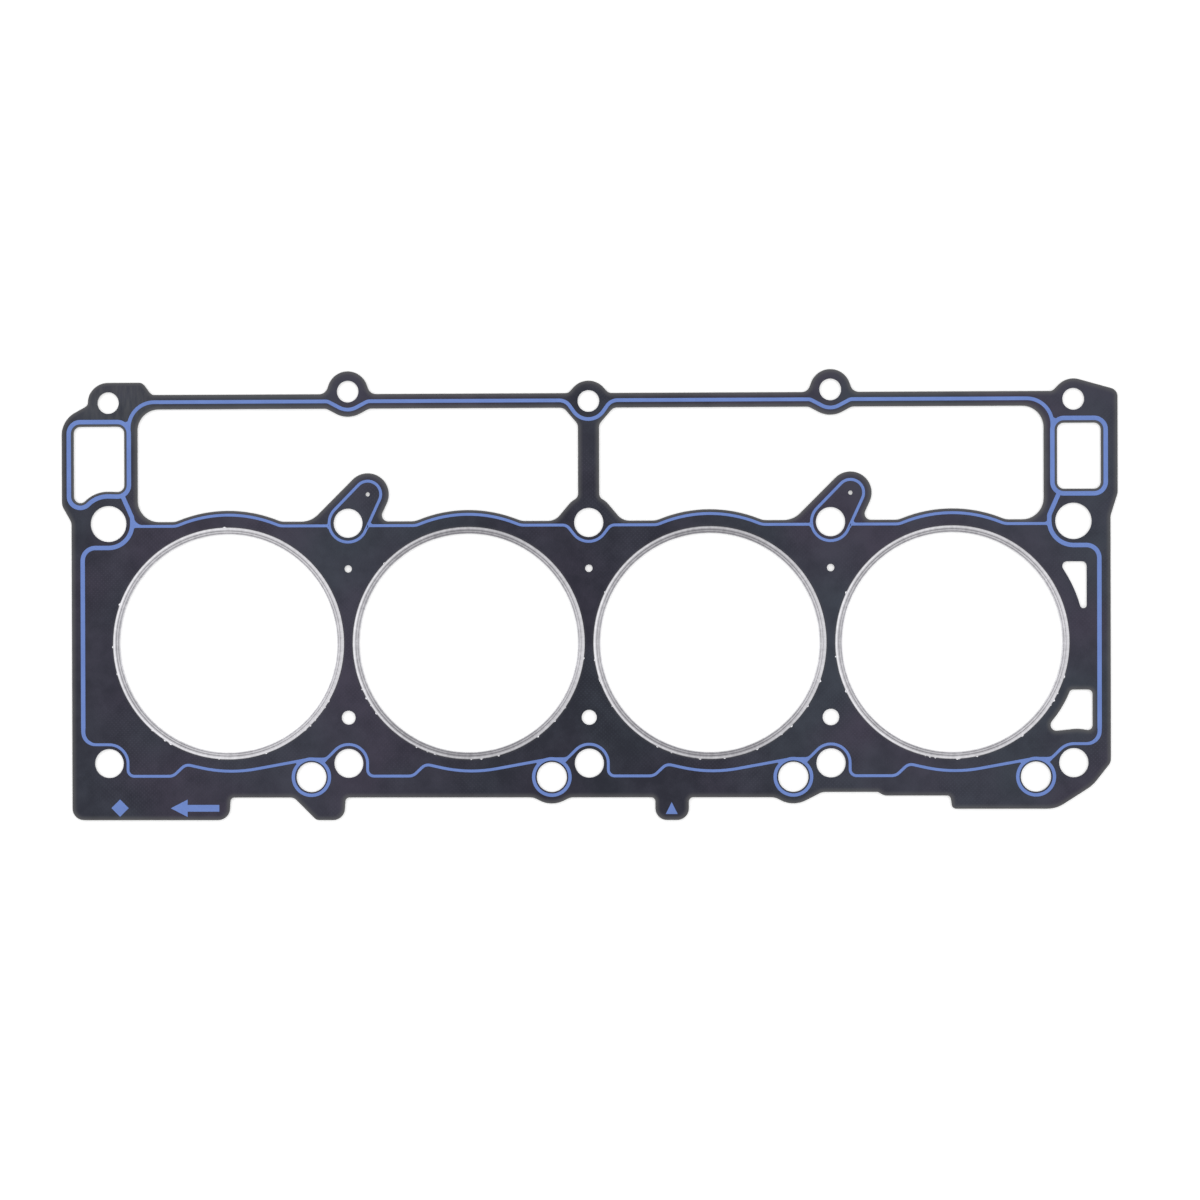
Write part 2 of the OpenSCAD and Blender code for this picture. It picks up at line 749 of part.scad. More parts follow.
// Joints of the deck line with the loop round head bolt i and the oil feed hole beside it
module finger_joints(i) {
    left = [column_x(i) - loop_r, deck_bead_y];
    right = [column_x(i) + loop_r, deck_bead_y];
    left_r = 0.9;
    waist_r = 1.5;
    right_r = 1;
    gusset(left, [-1, 0], [0, 1], left_r);
    gusset(left, [-1, 0], [0, -1], left_r);
    gusset(right, [1, 0], polar(1, 90 + waist_angle), waist_r);
    gusset(right, [1, 0], [0, -1], right_r);
}

// Joint between the deck line and the end line beside a dowel hole, on side s
module dowel_joint(s, upper_r) {
    p = [s * dowel_bead_x, deck_bead_y];
    lower_r = 1.2;
    gusset(p, [0, 1], [-s, 0], upper_r);
    gusset(p, [0, -1], [-s, 0], lower_r);
}

// Web in the notch where the rail line leaves the left port's loop
module rail_joint() {
    loop_line_r = port_r + port_bead_gap;
    loop_angle = 55;
    rail_angle = 166;
    overlap = 0.05;
    fork = [rail_start_x, port_top - port_r];
    loop_middle = fork - [loop_line_r, 0];
    bend_middle = [rail_start_x + rail_bend_r, rail_y - rail_bend_r];
    polygon([
        fork,
        bend_middle + polar(rail_bend_r + rail_bead_w / 2 - overlap, rail_angle),
        loop_middle + polar(loop_line_r + wide_bead_w / 2 - overlap, loop_angle)
    ]);
}

// Joints of the lower bead with drain ring i, on the left and on the right of the ring's top
module drain_joints(i) {
    left_web = 138;
    left_line = 100;
    right_web = 47;
    right_line = 90;
    ring_web(drain_at(i), drain_ring_r, left_web, left_line);
    ring_web(drain_at(i), drain_ring_r, right_web, right_line);
}

// The two end lines, the second one as the mirror image of the path at the right end
module end_beads() {
    bead_line(end_path(left_x), end_widths());
    mirror([1, 0]) bead_line(end_path(-right_x), end_widths());
}

// From a port down past its dowel hole and along the sheet's end at x to the lower head bolt
function end_path(x) =
    let (
        corner_r = 6,
        bead_x = x + end_bead_gap,
        low_y = loop_r - bolt_y,
        taper = 8,
        port_side = 4.9,
        dowel_side = 2.8,
        bend_r = 3
    )
    concat(
        [
            [-dowel_bead_x - port_side, port_bottom - port_bead_gap / 2, 0],
            [-dowel_bead_x, bolt_y + dowel_side, bend_r]
        ],
        lobe(upper_bolt(1), dowel_loop_r, 0, -90),
        [
            [bead_x, bolt_y - dowel_loop_r, corner_r],
            [bead_x, low_y + taper, 0],
            [bead_x, low_y, corner_r],
            [column_x(1), low_y, 0]
        ]
    );

// Wide down to the last corner, where the line narrows to the width of the lower edge's bead
function end_widths() =
    let (n = len(end_path(left_x)))
    [for (i = [0:n - 1]) i < n - 2 ? wide_bead_w : bead_w];

// Along the lower edge, over each head bolt and down between the bolts
module lower_bead() {
    lap = 0.5;
    path = concat(
        [[column_x(1) - lap, loop_r - bolt_y, 0]],
        lobe(lower_bolt(1), loop_r, 90, 0),
        [for (i = [1:4]) each concat(
            lower_span(i),
            lobe(lower_bolt(i + 1), loop_r, shoulder_angle, i < 4 ? 0 : 90)
        )],
        [[column_x(5) + lap, loop_r - bolt_y, 0]]
    );
    bead_line(path, each_one(path, bead_w));
}

// The lower bead from head bolt i to the left flank of the next one
function lower_span(i) =
    let (
        low_y = -bolt_y - low_bead_drop,
        low_end_x = 30.3,
        hump = bore_at(i) + polar(ring_outer_r + 5.85, -109.75),
        start_r = 3,
        low_r = 5,
        hump_r = 4.2,
        sag_r = 65,
        drain_angle = 100,
        next_fillet = 4
    )
    concat(
        [
            [column_x(i) + loop_r, low_y, start_r],
            [column_x(i) + low_end_x, low_y, low_r],
            [hump.x, hump.y, hump_r],
            [bore_at(i).x, -ring_outer_r - sag_gap, sag_r]
        ],
        lobe(drain_at(i + 1), drain_ring_r, drain_angle, 90),
        [foot(lower_bolt(i + 1), loop_r, shoulder_angle, drain_ring_r - drain_y, next_fillet)]
    );

module top_seal_bead() {
    color("cornflowerblue")
        translate([0, 0, body_h / 2])
        seal_bead();
}

module bottom_seal_bead() {
    color("cornflowerblue")
        translate([0, 0, -body_h / 2 - bead_t])
        seal_bead();
}

steel_core();
top_facing();
bottom_facing();
fire_ring(1);  // fire_ring_1
fire_ring(2);  // fire_ring_2
fire_ring(3);  // fire_ring_3
fire_ring(4);  // fire_ring_4
combustion_wire(1);  // combustion_wire_1
combustion_wire(2);  // combustion_wire_2
combustion_wire(3);  // combustion_wire_3
combustion_wire(4);  // combustion_wire_4
top_seal_bead();
bottom_seal_bead();
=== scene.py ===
import json
import math

import bpy
import numpy as np
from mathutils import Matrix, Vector
from mathutils.geometry import delaunay_2d_cdt


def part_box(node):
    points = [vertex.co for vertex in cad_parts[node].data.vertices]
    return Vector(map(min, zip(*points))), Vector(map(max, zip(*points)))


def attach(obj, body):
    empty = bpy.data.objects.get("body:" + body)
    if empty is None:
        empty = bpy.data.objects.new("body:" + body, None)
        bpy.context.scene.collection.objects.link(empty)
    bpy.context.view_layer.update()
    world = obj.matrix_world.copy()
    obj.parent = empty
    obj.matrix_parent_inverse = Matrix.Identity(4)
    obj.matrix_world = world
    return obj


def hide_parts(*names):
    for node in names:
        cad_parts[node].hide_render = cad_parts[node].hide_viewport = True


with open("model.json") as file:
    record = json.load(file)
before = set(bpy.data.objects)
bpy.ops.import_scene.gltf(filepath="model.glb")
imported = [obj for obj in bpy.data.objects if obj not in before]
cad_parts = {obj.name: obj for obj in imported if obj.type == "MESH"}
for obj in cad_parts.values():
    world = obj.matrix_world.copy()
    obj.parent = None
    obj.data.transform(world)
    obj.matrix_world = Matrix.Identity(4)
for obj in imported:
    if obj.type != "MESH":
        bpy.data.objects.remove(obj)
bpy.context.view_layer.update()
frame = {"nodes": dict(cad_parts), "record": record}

# The steel core
#
# A sheet of cold rolled steel between the two facings, blanked together with them. Only its sheared
# edge shows, as a thin grey line at every hole and all round the outline.

MM = 0.001
SHEARED_DARK, SHEARED_PALE = (0.2, 0.2, 0.21), (0.46, 0.46, 0.47)


class Wired:
    """An output socket of a material. Operators on it add Math nodes, and add() any other node."""

    def __init__(self, tree, socket):
        self.tree, self.socket = tree, socket

    def add(self, kind, settings=None, sockets=None, out=0):
        """Adds a node, sets its settings and then its sockets, and returns one output."""
        node = self.tree.nodes.new(kind)
        for key, value in (settings or {}).items():
            setattr(node, key, value)
        for key, value in (sockets or {}).items():
            if isinstance(value, Wired):
                self.tree.links.new(value.socket, node.inputs[key])
            else:
                node.inputs[key].default_value = value
        return Wired(self.tree, node.outputs[out])

    def maths(self, operation, *others):
        """A Math node whose first value is this one."""
        values = dict(enumerate((self, *others)))
        return self.add("ShaderNodeMath", {"operation": operation}, values)

    def __add__(self, other):
        return self.maths("ADD", other)

    def __sub__(self, other):
        return self.maths("SUBTRACT", other)

    def __rsub__(self, other):
        return self.add("ShaderNodeMath", {"operation": "SUBTRACT"}, {0: other, 1: self})

    def __mul__(self, other):
        return self.maths("MULTIPLY", other)

    def __pow__(self, other):
        return self.maths("POWER", other)

    __radd__, __rmul__ = __add__, __mul__

    def ramp(self, low, high):
        """0 below low, 1 above high and straight in between."""
        return self.add("ShaderNodeMapRange", {}, {
            "Value": self, "From Min": low, "From Max": high})

    def tent(self, middle, half):
        """1 at middle, straight down to 0 at half to either side."""
        return 1 - ((self - middle) * (1 / half)).maths("ABSOLUTE").maths("MINIMUM", 1.0)

    def noise(self, scale, detail=2.0, roughness=0.5):
        """Cloudy noise over this vector, with cells 1 / scale wide."""
        return self.add("ShaderNodeTexNoise", {}, {
            "Vector": self, "Scale": scale, "Detail": detail, "Roughness": roughness})

    def stretched(self, x, y, z):
        """This vector with its three axes multiplied, so that a pattern on it is drawn out."""
        return self.add("ShaderNodeVectorMath", {"operation": "MULTIPLY"}, {0: self, 1: (x, y, z)})

    def axis(self, name):
        """One coordinate of this vector."""
        return self.add("ShaderNodeSeparateXYZ", {}, {0: self}, name)

    def tint(self, low, high):
        """The colour low where this is 0, and high where it is 1. Either may be a link."""
        low, high = (end if isinstance(end, Wired) else (*end, 1) for end in (low, high))
        return self.add("ShaderNodeMix", {"data_type": "RGBA"}, {
            "Factor": self, 6: low, 7: high}, 2)

    def relief(self, depth):
        """The surface normal with this value as a height of so many metres."""
        return self.add("ShaderNodeBump", {}, {"Height": self, "Distance": depth})


def finish(name, **constant):
    """A new material with one shader, whose constant sockets are set. Returns the material, its
    Object coordinates and a way to link the sockets that vary."""
    material = bpy.data.materials.new(name)
    material.use_nodes = True
    tree = material.node_tree
    shader = tree.nodes["Principled BSDF"]
    for key, value in constant.items():
        shader.inputs[key.replace("_", " ")].default_value = value

    def fill(**varying):
        for key, value in varying.items():
            tree.links.new(value.socket, shader.inputs[key.replace("_", " ")])

    place = tree.nodes.new("ShaderNodeTexCoord")
    return material, Wired(tree, place.outputs["Object"]), fill


def dress(material, *names):
    """Gives CAD nodes their finished material."""
    for name in names:
        frame["nodes"][name].material_slots[0].material = material


core_steel, place, fill = finish("cold_rolled_steel", Metallic=1.0, Roughness=0.42)
shear_marks = place.stretched(1, 1, 0.1).noise(2600, 3)
patches = place.noise(60, 3)
fill(
    Base_Color=(shear_marks * 0.6 + patches * 0.4).tint(SHEARED_DARK, SHEARED_PALE),
    Roughness=0.34 + patches * 0.2,
    Normal=shear_marks.relief(0.02 * MM),
)
dress(core_steel, "steel_core")

# The two facings
#
# Charcoal composition, fibre and filler in a rubber binder, rolled on to the core. The small
# tongues of the core print through in staggered rows. Blanking rolls each edge down and leaves it
# torn and grey.

FACES = (("top", 1), ("bottom", -1))
ROW_PITCH = 1.9 * MM
LONG_RUN = 60 * MM
BORDER_STEP = 2.5 * MM
BORDER_ROWS = np.array((0.35, 0.8, 1.3, 1.9, 2.6)) * MM
CLEAR_SHARE = 0.98
ROLL_DEPTH = 0.04 * MM
ROLL_REACH = 1.3 * MM
WELD_GRID = 0.0005 * MM
EVERY_TRIANGLE, MEET_WITHIN = 0, 1e-6
ROWS_AT_ONCE = 500
SHARP_FROM = math.radians(50)

SKIN_DARK, SKIN_PALE = (0.007, 0.0075, 0.018), (0.0345, 0.034, 0.0535)
DRIFT_LOW, DRIFT_HIGH = (1.1, 0.95, 1.04), (0.87, 1.08, 1.0)
CUT_DARK, CUT_PALE = (0.05, 0.05, 0.056), (0.2, 0.2, 0.21)
TORN_GREY = (0.088, 0.088, 0.092)
# Painted light on the facing: paler towards both ends and the upper edge, less so at the far left
# end.
PALER_ENDS = (35 * MM, 115 * MM)
DARKER_LEFT = (-140 * MM, -235 * MM)
PALER_FROM_Y = -50 * MM
# Painted sheen: pale streaks round a point at the upper left, fading out between these distances.
SHEEN_AT = (-222 * MM, 120 * MM, 0.6 * MM)
SHEEN_FADE = (34 * MM, 14 * MM)


def tongue_rows(place):
    """1 on the dots of a staggered grid, where the product of a cosine along x and one along y is
    high, and 0 between them."""
    turn = 2 * math.pi / ROW_PITCH
    along = (place.axis("X") * turn).maths("COSINE")
    across = (place.axis("Y") * turn).maths("COSINE")
    return (along * across).ramp(0.35, 0.95)


def face_outline(node):
    """The points, border edges and triangles of a CAD plate's upper face. A border edge is one that
    no second triangle runs back along."""
    mesh = frame["nodes"][node].data
    mesh.calc_loop_triangles()
    points = np.empty(len(mesh.vertices) * 3)
    mesh.vertices.foreach_get("co", points)
    corners = np.empty(len(mesh.loop_triangles) * 3, dtype=int)
    mesh.loop_triangles.foreach_get("vertices", corners)
    points, corners = points.reshape(-1, 3), corners.reshape(-1, 3)
    top = corners[(points[corners, 2] > points[:, 2].max() - 2 * WELD_GRID).all(axis=1)]
    cells = np.round(points[top.ravel(), :2] / WELD_GRID)
    grid, which = np.unique(cells, axis=0, return_inverse=True)
    faces = which.reshape(-1, 3)
    faces = faces[(faces != np.roll(faces, 1, axis=1)).all(axis=1)]
    edges = np.concatenate([faces[:, [0, 1]], faces[:, [1, 2]], faces[:, [2, 0]]])
    code = edges[:, 0] * len(grid) + edges[:, 1]
    back = edges[:, 1] * len(grid) + edges[:, 0]
    return grid * WELD_GRID, edges[~np.isin(code, back)], faces.tolist()


def divided(flat, edges):
    """The border again, each edge cut into equal parts no longer than the border step."""
    ahead = flat[edges[:, 1]] - flat[edges[:, 0]]
    parts = np.ceil(np.linalg.norm(ahead, axis=1) / BORDER_STEP).astype(int)
    first = np.cumsum(parts) - parts
    edge = np.repeat(np.arange(len(edges)), parts)
    share = (np.arange(len(edge)) - first[edge]) / parts[edge]
    start = np.zeros(len(flat), dtype=int)
    start[edges[:, 0]] = first
    following = np.arange(1, len(edge) + 1)
    following[first + parts - 1] = start[edges[:, 1]]
    flat = flat[edges[edge, 0]] + ahead[edge] * share[:, None]
    return flat, np.stack([np.arange(len(edge)), following], axis=1)


def mitres(flat, edges):
    """The way each border point moves inwards when the border moves by one: the sum of the inward
    normals of its two edges over one plus their product."""
    ahead = flat[edges[:, 1]] - flat[edges[:, 0]]
    ahead /= np.linalg.norm(ahead, axis=1)[:, None]
    inwards = np.stack([-ahead[:, 1], ahead[:, 0]], axis=1)
    leaving, coming = np.zeros_like(flat), np.zeros_like(flat)
    leaving[edges[:, 0]], coming[edges[:, 1]] = inwards, inwards
    return (leaving + coming) / (1 + (leaving * coming).sum(axis=1))[:, None]


def from_border(points, flat, edges):
    """Distance of each point to the nearest border edge: to its foot on the edge, or to the edge's
    nearer end where the foot is past it."""
    start, ahead = flat[edges[:, 0]], flat[edges[:, 1]] - flat[edges[:, 0]]
    nearest = []
    for block in np.array_split(points, 1 + len(points) // ROWS_AT_ONCE):
        apart = block[:, None] - start
        share = np.clip((apart * ahead).sum(axis=2) / (ahead ** 2).sum(axis=1), 0, 1)
        nearest.append(np.linalg.norm(apart - share[:, :, None] * ahead, axis=2).min(axis=1))
    return np.concatenate(nearest)


def long_run(border, edges):
    """Whether each border point is on a loop longer than a hole's. Each point looks ahead twice as
    far at every turn for the lowest number on its loop, and the edges of each number are added
    up."""
    lowest, ahead = np.arange(len(border)), edges[:, 1]
    for turn in range(math.ceil(math.log2(len(border)))):
        lowest, ahead = np.minimum(lowest, lowest[ahead]), ahead[ahead]
    lengths = np.linalg.norm(border[edges[:, 1]] - border, axis=1)
    return np.bincount(lowest, weights=lengths)[lowest] > LONG_RUN


def filled(flat, border, edges):
    """Triangles over the flat points, of which the border's come first, against the clock. One is
    inside the sheet when an edge of it runs the border's way or a corner is off the border, and
    outside when an edge runs back along the border. Any other is inside when a line from its middle
    to the right crosses an odd number of border edges."""
    points = [Vector(point) for point in (flat / MM).tolist()]
    done = delaunay_2d_cdt(points, edges.tolist(), [], EVERY_TRIANGLE, MEET_WITHIN)
    faces = np.array([ids[0] for ids in done[3]])[np.array(done[2])]
    code = faces * len(flat) + np.roll(faces, -1, axis=1)
    inside = np.isin(code, edges @ (len(flat), 1)).any(axis=1) | (faces >= len(border)).any(axis=1)
    open_question = np.flatnonzero(~inside & ~np.isin(code, edges @ (1, len(flat))).any(axis=1))
    start, end = border[edges[:, 0]], border[edges[:, 1]]
    rise = np.where(start[:, 1] == end[:, 1], 1.0, end[:, 1] - start[:, 1])
    for block in np.array_split(open_question, 1 + len(open_question) // ROWS_AT_ONCE):
        x, y = np.split(flat[faces[block]].mean(axis=1), 2, axis=1)
        spans = (start[:, 1] > y) != (end[:, 1] > y)
        meets = start[:, 0] + (y - start[:, 1]) * (end[:, 0] - start[:, 0]) / rise
        inside[block] = (spans & (meets > x)).sum(axis=1) % 2 == 1
    return faces[inside]


def sheet_plan():
    """The sheet seen from above: its border, the border's edges, all flat points with their depths
    behind a long border, and the triangles over all points and over the border alone. Rows of
    points follow each long border inside it, where no other border is nearer."""
    border, edges = divided(*face_outline("top_facing")[:2])
    long = long_run(border, edges)
    rows = (border[long] + mitres(border, edges)[long] * BORDER_ROWS[:, None, None]).reshape(-1, 2)
    reach = np.repeat(BORDER_ROWS, long.sum())
    clear = from_border(rows, border, edges) > CLEAR_SHARE * reach
    flat = np.concatenate([border, rows[clear]])
    depth = np.r_[np.where(long, 0.0, BORDER_ROWS[-1]), reach[clear]]
    return border, edges, flat, depth, filled(flat, border, edges), filled(border, border, edges)


def rolled_plate(name, plan, side):
    """A facing over the sheet's plan. Its skin falls towards a long border by the square of what is
    left of the roll."""
    low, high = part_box(f"{name}_facing")
    skin_z, back_z = (high[2], low[2]) if side > 0 else (low[2], high[2])
    border, edges, flat, depth, skin, back = plan
    count, under = len(border), len(flat)
    z = skin_z - side * ROLL_DEPTH * np.clip(1 - depth / ROLL_REACH, 0, 1) ** 2
    points = np.concatenate([np.c_[flat, z], np.c_[border, np.full(count, back_z)]])
    walls = np.stack([edges[:, 1], edges[:, 0], edges[:, 0] + under, edges[:, 1] + under], axis=1)
    faces = [row for rows in (skin, back[:, ::-1] + under, walls)
             for row in rows[:, ::side].tolist()]
    plate = piece(f"{name}_composition", points, faces)
    layer = plate.data.attributes.new("from_edge", "FLOAT", "POINT")
    layer.data.foreach_set("value", np.r_[depth, depth[:count]] / MM)
    return plate


def piece(name, points, faces):
    """A mesh object at the origin, shaded smooth but for its sharp edges."""
    mesh = bpy.data.meshes.new(name)
    mesh.from_pydata(points.tolist(), [], faces)
    mesh.shade_smooth()
    mesh.set_sharp_from_angle(angle=SHARP_FROM)
    made = bpy.data.objects.new(name, mesh)
    bpy.context.scene.collection.objects.link(made)
    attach(made, "root")
    return made


facing_skin, place, fill = finish("charcoal_facing", Specular_IOR_Level=0.34)
clouds = place.noise(75, 4, 0.6)
drift = place.noise(14, 2)
fibres = place.stretched(1, 0.3, 1).noise(2200, 3, 0.7)
grain = place.noise(4200, 3, 0.7)
flecks = place.noise(3300, 2, 0.6).ramp(0.57, 0.68) * place.noise(420, 2).ramp(0.35, 0.6)
tongues = tongue_rows(place) * place.noise(22, 1).ramp(0.42, 0.62)
normal = place.add("ShaderNodeNewGeometry", out="Normal")
edge = 1 - normal.axis("Z").maths("ABSOLUTE").ramp(0.3, 0.7)
x = place.axis("X")
# Painted light: paler towards both ends and the upper edge, less so at the far left end.
outwards = x.maths("ABSOLUTE").ramp(*PALER_ENDS) * 0.55 - x.ramp(*DARKER_LEFT) * 0.35
outwards = outwards + (place.axis("Y") - PALER_FROM_Y) ** 2 * 8
weave = (clouds * 0.75 + fibres * 0.3 + grain * 0.2 + tongues * 0.26).ramp(0.41, 0.9)
skin = (weave + outwards + flecks * 0.6 - 0.3).tint(SKIN_DARK, SKIN_PALE)
drift = drift.ramp(0.4, 0.62).tint(DRIFT_LOW, DRIFT_HIGH)
faced = place.add("ShaderNodeMix", {"data_type": "RGBA", "blend_type": "MULTIPLY"}, {
    "Factor": 1.0, 6: skin, 7: drift}, 2)
cut = (fibres * 0.7 + grain * 0.3).tint(CUT_DARK, CUT_PALE)
from_edge = place.add("ShaderNodeAttribute", {"attribute_name": "from_edge"}, out="Fac")
torn = (1 - from_edge.ramp(0, BORDER_ROWS[-1] / MM)) ** 1.5 * (0.7 + clouds * 0.6)
# Painted sheen: pale streaks near the upper left, mixed in like the torn grey.
corner = place.add("ShaderNodeVectorMath", {"operation": "DISTANCE"}, {0: place, 1: SHEEN_AT}, 1)
streaks = place.stretched(1, 0.2, 1).noise(700, 2).ramp(0.2, 0.8)
painted_sheen = corner.ramp(*SHEEN_FADE) * streaks * 0.5
fill(
    Base_Color=edge.tint(torn.maths("MAXIMUM", painted_sheen).tint(faced, TORN_GREY), cut),
    Roughness=0.6 + fibres * 0.14 + edge * 0.15,
    Normal=(fibres * 0.6 + grain * 0.6 + flecks * 0.3 - tongues).relief(0.045 * MM),
)
plan = sheet_plan()
for face, side in FACES:
    plate = rolled_plate(face, plan, side)
    plate.data.materials.append(facing_skin)
    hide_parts(f"{face}_facing")

# The combustion wires
#
# Round steel wire, drawn and butted into a ring. Each one is shut inside the fold of its fire ring,
# where it raises the crest that seals the bore.

DRAWN_DARK, DRAWN_PALE = (0.36, 0.36, 0.37), (0.6, 0.6, 0.61)

wire_steel, place, fill = finish("drawn_wire", Metallic=1.0, Roughness=0.3)
draw_lines = place.noise(3000, 2)
fill(Base_Color=draw_lines.tint(DRAWN_DARK, DRAWN_PALE), Normal=draw_lines.relief(0.01 * MM))
dress(wire_steel, *(f"combustion_wire_{i}" for i in range(1, 5)))

# The fire rings
#
# Thin stainless sheet, folded in a U round each bore edge and over its wire, with a crest between
# two rolled creases. The flange's outer edge keeps small nicks from the folding rolls.

RING_STEPS = 384
FLANGE_SHEET = 0.15 * MM
FLANGE_WIDTH = 3.15 * MM
FOLD_R = 0.45 * MM
QUARTER_TURN = np.linspace(0, math.pi / 2, 7)
CREASES = ((1.57 * MM, 0.16 * MM, 0.09 * MM), (0.52 * MM, 0.14 * MM, 0.08 * MM))
NICK_REACH = 0.62 * MM
NICKS_EACH = 12
NICK_SHARPNESS = (0.005, 0.011)
LOWER_HALF = (1.08, 1.92)
RUN_IN = 0.7 * MM
STEEL_DARK, STEEL_PALE = (0.17, 0.165, 0.182), (0.955, 0.945, 0.985)
# Where the painted highlight lies: its band's middle in from the outer edge, its half width, and
# how far past the edge it lights the nicks.
RIM_IN, RIM_HALF, LIP = 0.6 * MM, 0.5 * MM, 0.1 * MM
# Painted shade at each ring's top and bottom, by ring number.
TOP_AND_BOTTOM_SHADE = {1: 0.02, 2: 0.27, 3: 0.27, 4: 0.1}
chance = np.random.default_rng(7)


def flange_skin(inner, outer, top):
    """Outside of the folded flange in section, as radii and heights: the top, level but for creases
    that are bell curves and for a quarter turn of the fold at the bore, then the same line
    mirrored. A crease has its reach from the bore, its width and its depth."""
    bells = [inner + reach + width * np.linspace(-2.2, 2.2, 9) for reach, width, depth in CREASES]
    turn = inner + FOLD_R * (1 - np.sin(QUARTER_TURN))
    r = np.unique(np.r_[np.linspace(inner + FOLD_R, outer, 8), np.concatenate(bells), turn])[::-1]
    into_fold = np.clip((inner + FOLD_R - r) / FOLD_R, 0, 1)
    z = top - FOLD_R * (1 - np.sqrt(1 - into_fold ** 2))
    for reach, width, depth in CREASES:
        z = z - depth * np.exp(-((r - inner - reach) / width) ** 2)
    return np.r_[r, r[::-1]], np.r_[z, -z[::-1]]


def fire_ring(number):
    """The flange's section carried round its bore, with more sections at each nick. The section is
    the outside line and, a sheet's thickness behind it, the same line going back. Nicks are bell
    curves of the angle that push the outer edge outwards, less and less over the run-in."""
    low, high = (np.array(corner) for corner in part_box(f"fire_ring_{number}"))
    centre, outer = (low + high) / 2, (high[0] - low[0]) / 2
    bore = next(m for m in frame["record"]["mounts"] if m["name"] == f"cylinder_{number}")
    r, z = flange_skin(bore["dims"]["r_mm"] * MM, outer, high[2])
    slope = np.gradient(r), np.gradient(z)
    length = np.hypot(*slope)
    r = np.r_[r, (r - slope[1] / length * FLANGE_SHEET)[::-2]]
    z = np.r_[z, (z + slope[0] / length * FLANGE_SHEET)[::-2]]

    lower = chance.uniform(*LOWER_HALF, NICKS_EACH) * math.pi
    spots = np.r_[lower, chance.uniform(0, 2, NICKS_EACH // 4) * math.pi]
    sharpness = chance.uniform(*NICK_SHARPNESS, len(spots))
    reach = chance.uniform(0.3, 1.0, len(spots)) * NICK_REACH
    near = spots[:, None] + sharpness[:, None] * np.linspace(-1.8, 1.8, 7)
    even = np.linspace(0, 2 * math.pi, RING_STEPS, endpoint=False)
    angle = np.union1d(even, near % (2 * math.pi))
    apart = (angle[:, None] - spots + math.pi) % (2 * math.pi) - math.pi
    nick = (reach * np.exp(-(apart / sharpness) ** 2)).max(axis=1)
    near_edge = np.clip(1 - (outer - r) / RUN_IN, 0, 1) ** 2

    radius = r + nick[:, None] * near_edge
    x = centre[0] + radius * np.cos(angle)[:, None]
    y = centre[1] + radius * np.sin(angle)[:, None]
    return np.stack([x, y, np.broadcast_to(z, x.shape)], axis=-1)


def closed_tube(name, grid):
    """A mesh piece over a grid of points that closes on itself in both directions."""
    rows, cols = grid.shape[:2]
    i, j = np.meshgrid(np.arange(rows), np.arange(cols), indexing="ij")
    ahead, beside = (i + 1) % rows, (j + 1) % cols
    quads = [i * cols + j, ahead * cols + j, ahead * cols + beside, i * cols + beside]
    return piece(name, grid.reshape(-1, 3), np.stack(quads, axis=-1).reshape(-1, 4).tolist())


def rolled_stainless(number, top_shade):
    """Satin stainless, with fine lines round the bore. Light is painted into it: painted shade in
    the creases, partly a dark film held there; a painted highlight along the outer edge and on the
    nicks, most of all on the left; radial streaks, chatter marks in the relief and painted
    highlight streaks in the colour; painted light on the right side; and painted shade at the
    ring's top and bottom, by the given amount."""
    material, place, fill = finish(f"rolled_stainless_{number}", Metallic=1.0)
    low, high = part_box(f"fire_ring_{number}")
    outer = (high[0] - low[0]) / 2
    from_bore = place.add("ShaderNodeVectorMath", {"operation": "SUBTRACT"}, {
        0: place, 1: ((low[0] + high[0]) / 2, (low[1] + high[1]) / 2, 0)})
    x, y = from_bore.axis("X"), from_bore.axis("Y")
    radius = (x * x + y * y) ** 0.5
    angle = y.maths("ARCTAN2", x)
    rolled = place.add("ShaderNodeCombineXYZ", {}, {0: radius * 9000, 1: angle * 9, 2: 0.0})
    # Radial streaks: chatter marks in the relief, and painted highlight streaks in the colour.
    chatter_and_glints = place.add("ShaderNodeCombineXYZ", {}, {0: radius * 300, 1: angle * 26, 2: 0.0})
    lines = rolled.noise(1, 3)
    strokes = chatter_and_glints.noise(1, 4, 0.7)
    bloom = place.noise(55, 3)
    shade = lines * 0.2 + strokes * 0.55 + bloom * 0.25 - 0.01
    # Darker in each crease: painted shade, and partly a dark film that the creases hold.
    for reach, width, depth in CREASES:
        shade = shade - radius.tent(outer - FLANGE_WIDTH + reach, 1.4 * width) * 0.62
    # Painted shade at the ring's top and bottom and on its left side, and painted light on its
    # right side.
    upright = y.maths("DIVIDE", radius) ** 2
    side = x.maths("DIVIDE", radius)
    # Painted highlight: a bright band just inside the outer edge, strongest on the left, and
    # painted glints on the nicks that stand past it.
    painted_highlight = radius.tent(outer - RIM_IN, RIM_HALF) * (0.32 - side * 0.2)
    painted_highlight = painted_highlight + radius.ramp(outer, outer + LIP) * 0.6
    fill(
        Base_Color=(shade + side * 0.045 - upright * top_shade + painted_highlight).tint(STEEL_DARK, STEEL_PALE),
        Roughness=0.2 + bloom * 0.16 + lines * 0.1,
        Normal=(lines * 0.6 + strokes * 0.4).relief(0.01 * MM),
    )
    return material


for number, top_shade in TOP_AND_BOTTOM_SHADE.items():
    ring = closed_tube(f"stainless_ring_{number}", fire_ring(number))
    ring.data.materials.append(rolled_stainless(number, top_shade))
    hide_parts(f"fire_ring_{number}")

# The sealing beads
#
# Blue silicone, screen printed on both faces in one pass, so that every line runs into the next. It
# sets with a low rounded section.

BEAD_SHOULDER = 0.42 * MM
ROUNDNESS = 0.6
BLUE_DEEP, BLUE_PALE = (0.118, 0.198, 0.495), (0.155, 0.248, 0.59)
bead_low, bead_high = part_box("top_seal_bead")


